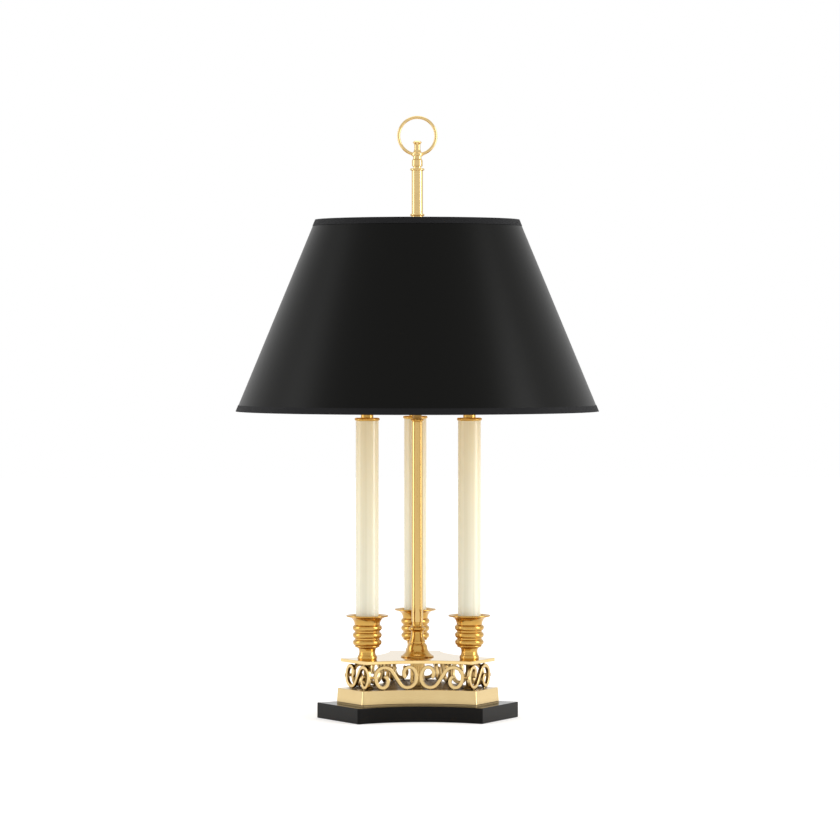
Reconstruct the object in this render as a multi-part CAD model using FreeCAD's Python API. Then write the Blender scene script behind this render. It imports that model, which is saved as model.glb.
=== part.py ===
import FreeCAD, Part
import math
import os

# Bouillotte lamp: three candles round a brass column, a black shade above them,
# and a base of scrolls between two brass plates on a black wooden block.
# Millimetres, +Z up, the front of the lamp faces -Y.
# The origin is on the table, on the axis of the column.

Vector = FreeCAD.Vector

# Clearances
GLUE_GAP = 0.05        # paper, tape and wire that are glued together
SLIDE_GAP = 0.05       # radial, a piece pushed by hand over a tube or rod
TURN_GAP = 0.08        # radial, a piece that turns on a rod or in a hole
DRILL_GAP = 0.4        # radial, a drilled hole round a rod or pipe

# Base block, black lacquered wood: three straight short sides, three hollow long sides
BLOCK_HALF_CHORD = 67.8
BLOCK_APOTHEM = 91.4
BLOCK_SAG = 23.5
BLOCK_T = 17.2
BLOCK_CORNER_R = 2.0
BLOCK_EDGE_R = 0.7
POCKET_R = 50.0
POCKET_DEPTH = 9.0

# Felt let into the underside
FELT_R = 54.0
FELT_T = 1.5
FELT_UP = 0.3          # the felt stands this far above the table

# Foot plate: the thin brass lip under the tray, with a groove above it
FOOT_T = 1.2
GROOVE_T = 0.6
GROOVE_INSET = 1.6

# Tray: hollow brass plinth, a little narrower at the top
TRAY_HALF_CHORD = 62.5
TRAY_APOTHEM = 69.6
TRAY_SAG = 17.0
TRAY_CORNER_R = 3.0
TRAY_T = 15.0
TRAY_TAPER = 1.2
TRAY_WALL = 2.0
TRAY_TOP_T = 2.2
TRAY_EDGE_R = 0.5

# Scrolls of the gallery: one S-shaped casting, used nine times
SCROLL_BAR = 3.9
SCROLL_DEPTH = 4.0
SCROLL_EDGE_R = 0.8
SCROLL_LEAN = 56.3     # slope of the middle stroke, degrees
SCROLL_STROKE = 16.2   # straight part of the middle stroke
SCROLL_LOOP_R = 10.3
SCROLL_SIDE_R = 17.1
SCROLL_SIDE_TURN = 34.0
SCROLL_CURL_R = 6.2
SCROLL_CURL_TURN = 146.0
SCROLL_SHORT_HOOK_R = 12.0
SCROLL_SHORT_HOOK_TURN = 22.0
SCROLL_LONG_HOOK_R = 7.0
SCROLL_LONG_HOOK_TURN = 52.0
SCROLL_INSET = 6.3     # middle of the scroll from the edge of the top plate
SCROLL_GAP = 1.6       # between the two scrolls of a long side
STUD_R = 1.1
STUD_LOW = 0.6
STUD_HIGH = 1.9
TIE_R = 1.8

# Top plate, polished brass
PLATE_HALF_CHORD = 57.9
PLATE_APOTHEM = 66.7
PLATE_SAG = 15.5
PLATE_CORNER_R = 2.0
PLATE_T = 3.6
PLATE_EDGE_R = 0.5

# Column, rod and what is threaded on it
ROD_R = 4.76
ROD_BELOW_NUT = 0.8
STUD_TOP_R = 3.175     # turned end that takes the finial
SPACER_R = 8.0
TUBE_R = 6.35
TUBE_WALL = 1.2
COLUMN_LENGTH = 223.5
BASE_NUT_AF = 17.5
BASE_NUT_T = 4.0
BASE_WASHER_R = 15.0
BASE_WASHER_T = 1.6

# Column bell and column neck, turned brass
BELL_R = 18.5
BELL_RIM_T = 1.4
BELL_BAND_R = 11.6
BELL_BAND_T = 3.0
BELL_BAND_TAPER = 0.4
BELL_SWEEP_T = 7.2
BELL_HOLLOW = 0.8      # depth of the sweep below a straight slope
BELL_TOP_R = 8.9
BELL_TOP_T = 3.6
BELL_TOP_FULL = 0.72   # width of the shoulder at half its height, as a share
NECK_HOLLOW = 0.55     # depth of the sweep at its foot below a straight slope
NECK_CONE_HOLLOW = 1.2  # depth of the sweep above the flange below a straight slope
NECK_FLARE_IN = 0.25   # place on the flare's curve: share of its width
NECK_FLARE_UP = 0.7    # and share of its height
NECK_JOINT_T = 0.9
NECK_JOINT_R = 8.4
NECK_FOOT_R = 9.2
NECK_WAIST_R = 6.65
NECK_SWEEP_T = 11.3
NECK_FLANGE_R = 9.25
NECK_FLANGE_T = 3.3
NECK_FLARE_T = 2.6
NECK_CONE_T = 3.6
NECK_RING_R = 5.75
NECK_RING_T = 2.6

# Column collar
COLLAR_BAND_T = 0.9
COLLAR_BEAD_R = 7.25
COLLAR_BEAD_T = 2.1

# Candles: three on a circle, over the short sides of the base
CANDLE_CIRCLE_R = 65.6
PIPE_R = 4.0
PIPE_BORE_R = 2.6
PIPE_NUT_AF = 12.0
PIPE_NUT_T = 2.8
PIPE_TAIL = 2.0        # pipe below its lowest nut
SLEEVE_R = 12.7
SLEEVE_WALL = 1.2
SLEEVE_LENGTH = 247.1

# Candle cup, turned brass, from the plate upwards
CUP_EASE = 0.5         # edges of its beads are drawn in by this much
CUP_BEAD_R = 10.9
CUP_BEAD_T = 4.8
CUP_BEAD_UP = 0.4      # widest place of the bead as a share of its height
CUP_WAIST_R = 9.8
CUP_WAIST_T = 7.4
CUP_WAIST_HOLLOW = 0.8
CUP_BOWL_T = 1.7
CUP_BOWL_OUT = 0.4     # place on the bowl's curve at half height: share of its width
CUP_LIP_BEAD_T = 1.8
CUP_WALL_R = 13.8
CUP_RIB_T = 6.6
CUP_RIB_PITCH = 8.1
CUP_RIB_PROUD = 2.2
CUP_RIBS = 3
CUP_WALL_GROWTH = 0.15  # the wall gets wider by this much from rib to rib
CUP_FLARE_UP = 0.6     # start of the flare above the highest rib
CUP_FLARE_R = 8.4
CUP_RIM_R = 23.4
CUP_RIM_T = 1.8
CUP_FLOOR_RISE = 1.8   # floor of the drip dish above the start of the flare
CUP_SEAT_UP = 18.0     # ledge that the candle sleeve stands on, above the plate

# Candle cap, turned brass
CAP_R = 13.95
CAP_RIM_T = 3.4
CAP_SPIGOT_T = 6.0
CAP_NECK_R = 7.0
CAP_NECK_T = 11.6

# Lamp socket on each candle pipe
SOCKET_R = 13.0
SOCKET_WALL = 0.8
SOCKET_CAP_T = 12.0
SOCKET_CAP_FOOT_R = 8.5
SOCKET_CAP_FULL = 0.6  # place on the cap's curve: share of its width
SOCKET_T = 40.0
SOCKET_THREAD_T = 3.0  # pipe inside the socket cap
CORE_RECESS = 2.0
CORE_FLOOR_T = 19.0
BULB_BASE_R = 5.95
BULB_BASE_T = 17.0
BULB_BASE_ABOVE = 2.5
BULB_CONTACT_R = 2.4
BULB_CONTACT_T = 2.5   # height of the taper down to the contact
BULB_R = 17.5
BULB_T = 84.0
BULB_NECK_R = 5.6
BULB_TIP_R = 1.6
BULB_WALL = 0.8
BULB_BELLY_AT = 0.36   # height of the widest place as a share of the glass
BULB_LOW_IN = 4.9      # place on the curve below the belly: this far inside it
BULB_LOW_UP = 0.4      # and at this share of the height below the belly
BULB_HIGH_R = 11.8     # place on the curve above the belly
BULB_HIGH_UP = 0.62    # and at this share of the height above the belly
FILAMENT_R = 1.6
FILAMENT_T = 38.0
STEM_FOOT_R = 3.0
KNOB_SHAFT_R = 1.5
KNOB_DEPTH = 9.0       # shaft inside the socket
KNOB_OUT = 5.0         # shaft outside the socket
KNOB_UP = 9.0          # shaft above the bottom of the socket shell
KNOB_KEY_L = 11.0
KNOB_KEY_W = 12.0
KNOB_KEY_T = 3.2

# Leads
LEAD_R = 1.3
LEAD_BEND_R = 5.0
LEAD_CIRCLE_R = 24.0
LEAD_RISE = 3.0        # lead above the foot plate
LEAD_HOLE_R = 3.0
LEAD_IN_SOCKET = 1.0
CONNECTOR_R = 3.6
CONNECTOR_TIP_R = 2.7
CONNECTOR_T = 5.0
CONNECTOR_UP = 2.6

# Cord inlet at the back of the block
INLET_Z = 7.6
INLET_HOLE_R = 3.5
GROMMET_R = 5.0
GROMMET_L = 8.0
GROMMET_FLANGE_R = 6.4
GROMMET_FLANGE_T = 1.5
GROMMET_BORE_R = 3.2

# Shade: a cone of black card with wire rings and cloth tape at both rims
SHADE_BOTTOM_R = 203.2
SHADE_TOP_R = 114.3
SHADE_BOTTOM_Z = 341.8
SHADE_HEIGHT = 214.0
SHADE_CARD = 0.9
SHADE_WIRE_R = 1.4
TAPE_T = 0.35
TAPE_OUTSIDE = 7.0
TAPE_INSIDE = 6.0

# Spider, its seat and the riser
SPIDER_HUB_R = 11.0
SPIDER_HUB_T = 3.0
SPIDER_HUB_ABOVE = 3.0  # top of the hub above the rim of the shade
SPIDER_ARM_R = 1.4
SPIDER_ARMS = 3
SPIDER_TURN = 90       # one arm points to the back
SEAT_NUT_AF = 14.0
SEAT_NUT_T = 5.0
SEAT_WASHER_R = 9.5
SEAT_WASHER_T = 1.0
RISER_LENGTH = 48.1
LOW_COLLAR_R = 8.0
LOW_COLLAR_T = 3.6
LOW_COLLAR_FOOT_T = 1.1
HIGH_COLLAR_R = 8.1
HIGH_COLLAR_T = 2.6

# Finial with its ring
FINIAL_WASHER_R = 4.6
FINIAL_WASHER_T = 0.7
FINIAL_FOOT_R = 4.3
FINIAL_FOOT_T = 1.3
FINIAL_NECK_R = 4.7
BARREL_R = 6.1
BARREL_T = 8.4
BARREL_CHAMFER = 1.2
FINIAL_NECK_T = 3.0
SKIRT_R = 6.8
SKIRT_T = 9.0
SKIRT_RIM_T = 1.6
FINIAL_STEM_R = 3.5
FINIAL_STEM_T = 4.0
KNOP_R = 5.0
KNOP_T = 4.3
KNOP_TOP_R = 3.2
KNOP_MID_UP = 0.55     # widest band of the knop starts at this share of its height
KNOP_BAND_T = 0.5
SKIRT_CURVE_R = 4.7    # place on the skirt's curve
SKIRT_CURVE_UP = 0.55  # and at this share of its height
FINIAL_THREAD_T = 7.6
FINIAL_BLIND_T = 1.0     # bore beyond the end of the rod
RING_R = 20.75
RING_WIRE_R = 1.75
RING_UP = 0.2          # lowest place of the ring above the bottom of the skirt

# Heights, stacked from the table upwards
FOOT_Z = BLOCK_T
TRAY_Z = FOOT_Z + FOOT_T + GROOVE_T
TRAY_TOP_Z = TRAY_Z + TRAY_T

# Middle of the lower loop of a scroll, from the middle of the scroll
LOOP_X = (SCROLL_STROKE / 2 * math.cos(math.radians(SCROLL_LEAN))
          + SCROLL_LOOP_R * math.sin(math.radians(SCROLL_LEAN)))
LOOP_Z = (SCROLL_LOOP_R * math.cos(math.radians(SCROLL_LEAN))
          - SCROLL_STROKE / 2 * math.sin(math.radians(SCROLL_LEAN)))
SCROLL_HALF_WIDTH = LOOP_X + SCROLL_LOOP_R + SCROLL_BAR / 2
SCROLL_HALF_HEIGHT = SCROLL_LOOP_R - LOOP_Z + SCROLL_BAR / 2

SCROLL_MID_Z = TRAY_TOP_Z + STUD_LOW + SCROLL_HALF_HEIGHT
PLATE_Z = SCROLL_MID_Z + SCROLL_HALF_HEIGHT + STUD_HIGH
PLATE_TOP_Z = PLATE_Z + PLATE_T
BELL_TOP_Z = PLATE_TOP_Z + BELL_RIM_T + BELL_SWEEP_T + BELL_BAND_T + BELL_TOP_T
NECK_TOP_Z = (BELL_TOP_Z + NECK_JOINT_T + NECK_SWEEP_T + NECK_FLARE_T
              + NECK_FLANGE_T + NECK_CONE_T + NECK_RING_T)
TUBE_TOP_Z = NECK_TOP_Z + COLUMN_LENGTH
COLUMN_TOP_Z = TUBE_TOP_Z + COLLAR_BAND_T + COLLAR_BEAD_T
SLEEVE_Z = PLATE_TOP_Z + CUP_SEAT_UP
SLEEVE_TOP_Z = SLEEVE_Z + SLEEVE_LENGTH
CAP_TOP_Z = SLEEVE_TOP_Z + CAP_RIM_T
SOCKET_Z = CAP_TOP_Z + CAP_NECK_T
SHELL_Z = SOCKET_Z + SOCKET_CAP_T
SHELL_TOP_Z = SHELL_Z + SOCKET_T
SHADE_TOP_Z = SHADE_BOTTOM_Z + SHADE_HEIGHT
HUB_TOP_Z = SHADE_TOP_Z + SPIDER_HUB_ABOVE
HUB_Z = HUB_TOP_Z - SPIDER_HUB_T
RISER_Z = HUB_TOP_Z + LOW_COLLAR_T
RISER_TOP_Z = RISER_Z + RISER_LENGTH
HIGH_COLLAR_TOP_Z = RISER_TOP_Z + HIGH_COLLAR_T
FINIAL_Z = HIGH_COLLAR_TOP_Z + FINIAL_WASHER_T
SKIRT_Z = FINIAL_Z + FINIAL_FOOT_T + BARREL_T + FINIAL_NECK_T
RING_Z = SKIRT_Z + RING_UP + RING_WIRE_R + RING_R

POCKET_TOP_Z = POCKET_DEPTH
FELT_TOP_Z = FELT_UP + FELT_T
NUT_Z = POCKET_TOP_Z - BASE_WASHER_T - BASE_NUT_T
LEAD_Z = FOOT_Z + FOOT_T + LEAD_RISE
INLET_Y = BLOCK_APOTHEM / 2 + BLOCK_HALF_CHORD * math.sin(math.radians(60))

CANDLE_ANGLES = {"left": 210, "right": 330, "back": 90}
SHORT_SIDE_TURNS = {"right": 60, "back": 180, "left": 300}
LONG_SIDE_TURNS = {"front": 0, "back_right": 120, "back_left": 240}


def at_angle(radius, degrees, z=0.0):
    """Point on a circle about the column."""
    angle = math.radians(degrees)
    return Vector(radius * math.cos(angle), radius * math.sin(angle), z)


def about_column(shape, degrees):
    """Copy of a shape, turned about the column."""
    turned_copy = shape.copy()
    turned_copy.rotate(Vector(0, 0, 0), Vector(0, 0, 1), degrees)
    return turned_copy


def rod(radius, length, start, direction=Vector(0, 0, 1)):
    return Part.makeCylinder(radius, length, start, direction)


def pipe(radius, bore, z_low, z_high):
    """Straight tube on the column's axis."""
    outside = rod(radius, z_high - z_low, Vector(0, 0, z_low))
    return outside.cut(rod(bore, z_high - z_low, Vector(0, 0, z_low)))


def hex_nut(across_flats, thickness, bore, z_low):
    corner = across_flats / math.sqrt(3)
    points = [at_angle(corner, 60 * k, z_low) for k in range(7)]
    blank = Part.Face(Part.makePolygon(points)).extrude(Vector(0, 0, thickness))
    return blank.cut(rod(bore, thickness, Vector(0, 0, z_low)))


def turned(profile):
    """Solid turned about Z. A step is (r, z) for a line, or (r, z, r, z) for an arc
    through the first place to the second."""
    edges = []
    here = Vector(profile[0][0], 0, profile[0][1])
    for step in profile[1:] + profile[:1]:
        there = Vector(step[-2], 0, step[-1])
        if len(step) == 4:
            middle = Vector(step[0], 0, step[1])
            edges.append(Part.Arc(here, middle, there).toShape())
        elif here.distanceToPoint(there) > 1e-6:
            edges.append(Part.makeLine(here, there))
        here = there
    face = Part.Face(Part.Wire(edges))
    return face.revolve(Vector(0, 0, 0), Vector(0, 0, 1), 360)


def six_sided(half_chord, apothem, sag, corner_r, z):
    """Outline with three hollow long sides and three straight short sides.
    Shrinking and growing it again rounds its corners."""
    edges = []
    for k in range(3):
        spin = FreeCAD.Rotation(Vector(0, 0, 1), 120 * k)
        after = FreeCAD.Rotation(Vector(0, 0, 1), 120 * (k + 1))
        left = spin.multVec(Vector(-half_chord, -apothem, z))
        middle = spin.multVec(Vector(0, sag - apothem, z))
        right = spin.multVec(Vector(half_chord, -apothem, z))
        next_left = after.multVec(Vector(-half_chord, -apothem, z))
        edges.append(Part.Arc(left, middle, right).toShape())
        edges.append(Part.makeLine(right, next_left))
    sharp = Part.Wire(edges)
    return sharp.makeOffset2D(-corner_r).makeOffset2D(corner_r)


def slab(outline, thickness):
    return Part.Face(outline).extrude(Vector(0, 0, thickness))


def edges_at(shape, z):
    """Edges of a shape that lie flat at one height."""
    box_of = [(edge, edge.BoundBox) for edge in shape.Edges]
    return [edge for edge, box in box_of if abs(box.ZMin - z) < 1e-4 and abs(box.ZMax - z) < 1e-4]


def candle_holes(radius, z_low, thickness):
    holes = [rod(radius, thickness, at_angle(CANDLE_CIRCLE_R, angle, z_low))
             for angle in CANDLE_ANGLES.values()]
    return Part.makeCompound(holes)


def lead_holes(z_low, thickness):
    holes = [rod(LEAD_HOLE_R, thickness, at_angle(LEAD_CIRCLE_R, angle, z_low))
             for angle in CANDLE_ANGLES.values()]
    return Part.makeCompound(holes)


def centre_hole(z_low, thickness):
    return rod(ROD_R + DRILL_GAP, thickness, Vector(0, 0, z_low))


# Base

def base_block():
    outline = six_sided(BLOCK_HALF_CHORD, BLOCK_APOTHEM, BLOCK_SAG, BLOCK_CORNER_R, 0)
    block = slab(outline, BLOCK_T)
    block = block.makeFillet(BLOCK_EDGE_R, edges_at(block, 0) + edges_at(block, BLOCK_T))
    block = block.cut(rod(POCKET_R, POCKET_DEPTH, Vector(0, 0, 0)))
    block = block.cut(rod(FELT_R + SLIDE_GAP, FELT_TOP_Z, Vector(0, 0, 0)))
    block = block.cut(centre_hole(0, BLOCK_T))
    block = block.cut(lead_holes(0, BLOCK_T))
    inwards = Vector(0, -1, 0)
    mouth = Vector(0, INLET_Y, INLET_Z)
    block = block.cut(rod(INLET_HOLE_R, INLET_Y - POCKET_R / 2, mouth, inwards))
    return block.cut(rod(GROMMET_R + SLIDE_GAP, GROMMET_L, mouth, inwards))


def base_felt():
    return rod(FELT_R, FELT_T, Vector(0, 0, FELT_UP))


def cord_grommet():
    inwards = Vector(0, -1, 0)
    mouth = Vector(0, INLET_Y, INLET_Z)
    flange_face = mouth + Vector(0, GROMMET_FLANGE_T, 0)
    body = rod(GROMMET_R, GROMMET_L, mouth, inwards)
    flange = rod(GROMMET_FLANGE_R, GROMMET_FLANGE_T, flange_face, inwards)
    bore = rod(GROMMET_BORE_R, GROMMET_L + GROMMET_FLANGE_T, flange_face, inwards)
    return body.fuse(flange).cut(bore).removeSplitter()


def tray_outline(inset, z):
    outline = six_sided(TRAY_HALF_CHORD, TRAY_APOTHEM, TRAY_SAG, TRAY_CORNER_R, z)
    if inset == 0:
        return outline
    return outline.makeOffset2D(-inset)


def tray_foot():
    lip = slab(tray_outline(0, FOOT_Z), FOOT_T)
    step = slab(tray_outline(GROOVE_INSET, FOOT_Z), FOOT_T + GROOVE_T)
    hollow = slab(tray_outline(GROOVE_INSET + TRAY_WALL, FOOT_Z + FOOT_T), GROOVE_T)
    foot = lip.fuse(step).cut(hollow).removeSplitter()
    return foot.cut(centre_hole(FOOT_Z, FOOT_T)).cut(lead_holes(FOOT_Z, FOOT_T))


def base_tray():
    low = tray_outline(0, TRAY_Z)
    high = tray_outline(TRAY_TAPER, TRAY_TOP_Z)
    tray = Part.makeLoft([low, high], True, True)
    tray = tray.makeFillet(TRAY_EDGE_R, edges_at(tray, TRAY_TOP_Z))
    tray = tray.cut(slab(tray_outline(TRAY_WALL + TRAY_TAPER, TRAY_Z), TRAY_T - TRAY_TOP_T))
    tray = tray.cut(centre_hole(TRAY_Z, TRAY_T))
    return tray.cut(candle_holes(PIPE_R + SLIDE_GAP, TRAY_Z, TRAY_T))


def top_plate():
    outline = six_sided(PLATE_HALF_CHORD, PLATE_APOTHEM, PLATE_SAG, PLATE_CORNER_R, PLATE_Z)
    plate = slab(outline, PLATE_T)
    rims = edges_at(plate, PLATE_Z) + edges_at(plate, PLATE_TOP_Z)
    plate = plate.makeFillet(PLATE_EDGE_R, rims)
    plate = plate.cut(centre_hole(PLATE_Z, PLATE_T))
    return plate.cut(candle_holes(PIPE_R + SLIDE_GAP, PLATE_Z, PLATE_T))


# Gallery of scrolls

def bent_path(place, heading, moves):
    """Edges of a path in the XY plane. A move is (length, 0) for a straight run,
    or (radius, turn) for an arc, to the left where the turn is above zero."""
    edges = []
    for size, turn in moves:
        ahead = Vector(math.cos(heading), math.sin(heading), 0)
        if turn == 0:
            there = place + ahead * size
            edges.append(Part.makeLine(place, there))
        else:
            left = Vector(-ahead.y, ahead.x, 0)
            hub = place + left * math.copysign(size, turn)
            half = FreeCAD.Rotation(Vector(0, 0, 1), turn / 2)
            whole = FreeCAD.Rotation(Vector(0, 0, 1), turn)
            middle = hub + half.multVec(place - hub)
            there = hub + whole.multVec(place - hub)
            edges.append(Part.Arc(place, middle, there).toShape())
            heading += math.radians(turn)
        place = there
    return edges


def scroll():
    """One S-scroll, seen from outside the lamp, with its middle at the origin.
    Its right curl ends in the short hook and its left curl in the long one."""
    shared = [(SCROLL_STROKE / 2, 0),
              (SCROLL_LOOP_R, 90 + SCROLL_LEAN),
              (SCROLL_SIDE_R, SCROLL_SIDE_TURN),
              (SCROLL_CURL_R, SCROLL_CURL_TURN)]
    down = math.radians(-SCROLL_LEAN)
    middle = Vector(0, 0, 0)
    right = bent_path(middle, down, shared + [(SCROLL_SHORT_HOOK_R, SCROLL_SHORT_HOOK_TURN)])
    left = bent_path(middle, down + math.pi,
                     shared + [(SCROLL_LONG_HOOK_R, SCROLL_LONG_HOOK_TURN)])
    line = Part.Wire(Part.__sortEdges__(right + left))
    outline = line.makeOffset2D(SCROLL_BAR / 2, 0, False, False)
    bar = Part.Face(outline).extrude(Vector(0, 0, SCROLL_DEPTH))
    bar = bar.makeFillet(SCROLL_EDGE_R, edges_at(bar, 0) + edges_at(bar, SCROLL_DEPTH))
    bar.translate(Vector(0, 0, -SCROLL_DEPTH / 2))
    bar.rotate(Vector(0, 0, 0), Vector(1, 0, 0), 90)
    bar.translate(Vector(0, 0, SCROLL_MID_Z))
    sunk = SCROLL_BAR / 2
    for side in (-1, 1):
        foot = Vector(side * LOOP_X, 0, TRAY_TOP_Z)
        bar = bar.fuse(rod(STUD_R, STUD_LOW + sunk, foot))
    head = Vector(-LOOP_X, 0, PLATE_Z - STUD_HIGH - sunk)
    return bar.fuse(rod(STUD_R, STUD_HIGH + sunk, head))


def mirrored(shape):
    return shape.mirror(Vector(0, 0, 0), Vector(1, 0, 0))


# Arc of a long side of the top plate, and the smaller chord that a flat scroll spans on it
PLATE_ARC_R = (PLATE_HALF_CHORD ** 2 + PLATE_SAG ** 2) / (2 * PLATE_SAG)
PLATE_ARC_Y = PLATE_SAG - PLATE_APOTHEM - PLATE_ARC_R
SCROLL_ARC_R = PLATE_ARC_R + SCROLL_INSET
SCROLL_HALF_ANGLE = math.asin(SCROLL_HALF_WIDTH / SCROLL_ARC_R)
SCROLL_MID_ANGLE = math.asin(SCROLL_GAP / 2 / SCROLL_ARC_R) + SCROLL_HALF_ANGLE
PLATE_SHORT_APOTHEM = (PLATE_HALF_CHORD * math.sin(math.radians(60))
                       + PLATE_APOTHEM * math.cos(math.radians(60)))


def on_long_side(shape):
    """Place a shape from the middle of the right-hand scroll of the front side."""
    placed = shape.copy()
    placed.rotate(Vector(0, 0, 0), Vector(0, 0, 1), -math.degrees(SCROLL_MID_ANGLE))
    reach = SCROLL_ARC_R * math.cos(SCROLL_HALF_ANGLE)
    placed.translate(Vector(reach * math.sin(SCROLL_MID_ANGLE),
                            PLATE_ARC_Y + reach * math.cos(SCROLL_MID_ANGLE), 0))
    return placed


def on_short_side(shape):
    """Place a shape on the short side that faces the right front corner."""
    placed = shape.copy()
    placed.translate(Vector(0, SCROLL_INSET - PLATE_SHORT_APOTHEM, 0))
    return about_column(placed, SHORT_SIDE_TURNS["right"])


def gallery_long(one):
    """The pair of scrolls on the front side."""
    right = on_long_side(mirrored(one))
    return Part.makeCompound([right, mirrored(right)])


def gallery_ties(one):
    """Brass beads that join neighbouring curls at the six corners of the gallery."""
    end = Part.Vertex(SCROLL_HALF_WIDTH, 0, SCROLL_MID_Z)
    start = on_long_side(end).Point
    other = Part.Vertex(-SCROLL_HALF_WIDTH, 0, SCROLL_MID_Z)
    stop = on_short_side(other).Point
    reach = stop - start
    sunk = reach.normalize() * SCROLL_BAR / 2
    blank = rod(TIE_R, (stop - start).Length + SCROLL_BAR, start - sunk, sunk)
    short = on_short_side(mirrored(one))
    beads = []
    for name, uncut in {"right": blank, "left": mirrored(blank)}.items():
        neighbour = about_column(short, SHORT_SIDE_TURNS[name] - SHORT_SIDE_TURNS["right"])
        rest = uncut.cut(gallery_long(one)).cut(neighbour)
        middle = uncut.CenterOfMass
        beads.append(min(rest.Solids, key=lambda piece: (piece.CenterOfMass - middle).Length))
    return Part.makeCompound([about_column(bead, turn)
                              for turn in LONG_SIDE_TURNS.values() for bead in beads])


# Column

def centre_spacer():
    return pipe(SPACER_R, ROD_R + SLIDE_GAP, TRAY_TOP_Z, PLATE_Z)


def column_bell():
    bore = ROD_R + SLIDE_GAP
    rim_z = PLATE_TOP_Z + BELL_RIM_T
    band_z = rim_z + BELL_SWEEP_T
    band_top_z = band_z + BELL_BAND_T
    band_top_r = BELL_BAND_R - BELL_BAND_TAPER
    sweep_mid = ((BELL_R + BELL_BAND_R) / 2, (rim_z + band_z) / 2)
    shoulder_r = BELL_TOP_R + BELL_TOP_FULL * (band_top_r - BELL_TOP_R)
    return turned([(bore, PLATE_TOP_Z),
                   (BELL_R - BELL_RIM_T / 2, PLATE_TOP_Z),
                   (BELL_R, PLATE_TOP_Z + BELL_RIM_T / 2, BELL_R - BELL_RIM_T / 2, rim_z),
                   (sweep_mid[0] - BELL_HOLLOW, sweep_mid[1] - BELL_HOLLOW,
                    BELL_BAND_R, band_z),
                   (band_top_r, band_top_z),
                   (shoulder_r, band_top_z + BELL_TOP_T / 2, BELL_TOP_R, BELL_TOP_Z),
                   (bore, BELL_TOP_Z)])


def column_neck():
    bore = ROD_R + SLIDE_GAP
    foot_z = BELL_TOP_Z + NECK_JOINT_T
    waist_z = foot_z + NECK_SWEEP_T
    flange_z = waist_z + NECK_FLARE_T
    flange_top_z = flange_z + NECK_FLANGE_T
    ring_z = flange_top_z + NECK_CONE_T
    sweep_r = (NECK_FOOT_R + NECK_WAIST_R) / 2 - NECK_HOLLOW
    flare_r = NECK_WAIST_R + NECK_FLARE_IN * (NECK_FLANGE_R - NECK_WAIST_R)
    flare_z = waist_z + NECK_FLARE_UP * NECK_FLARE_T
    cone_r = (NECK_FLANGE_R + NECK_RING_R) / 2 - NECK_CONE_HOLLOW
    edge = NECK_FLANGE_T / 2
    return turned([(bore, BELL_TOP_Z),
                   (NECK_JOINT_R, BELL_TOP_Z),
                   (NECK_JOINT_R, foot_z),
                   (NECK_FOOT_R, foot_z),
                   (NECK_FOOT_R, foot_z + NECK_JOINT_T),
                   (sweep_r, foot_z + NECK_SWEEP_T / 2, NECK_WAIST_R, waist_z),
                   (flare_r, flare_z, NECK_FLANGE_R - edge / 2, flange_z),
                   (NECK_FLANGE_R, flange_z + edge, NECK_FLANGE_R - edge / 2, flange_top_z),
                   (cone_r, flange_top_z + NECK_CONE_T / 2, NECK_RING_R, ring_z),
                   (NECK_RING_R, NECK_TOP_Z),
                   (bore, NECK_TOP_Z)])


def column_tube():
    return pipe(TUBE_R, TUBE_R - TUBE_WALL, NECK_TOP_Z, TUBE_TOP_Z)


def column_collar():
    bore = ROD_R + SLIDE_GAP
    bead_z = TUBE_TOP_Z + COLLAR_BAND_T
    return turned([(bore, TUBE_TOP_Z),
                   (TUBE_R - COLLAR_BAND_T / 3, TUBE_TOP_Z),
                   (TUBE_R - COLLAR_BAND_T / 3, bead_z),
                   (COLLAR_BEAD_R, bead_z + COLLAR_BEAD_T / 2, TUBE_R, COLUMN_TOP_Z),
                   (bore, COLUMN_TOP_Z)])


def centre_rod():
    low = NUT_Z - ROD_BELOW_NUT
    main = rod(ROD_R, HIGH_COLLAR_TOP_Z - low, Vector(0, 0, low))
    end = rod(STUD_TOP_R, FINIAL_WASHER_T + FINIAL_THREAD_T, Vector(0, 0, HIGH_COLLAR_TOP_Z))
    return main.fuse(end)


def base_washer():
    return pipe(BASE_WASHER_R, ROD_R + SLIDE_GAP, POCKET_TOP_Z - BASE_WASHER_T, POCKET_TOP_Z)


def base_nut():
    return hex_nut(BASE_NUT_AF, BASE_NUT_T, ROD_R + SLIDE_GAP, NUT_Z)


# Candles, each made on the column's axis and moved to its place

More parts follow.
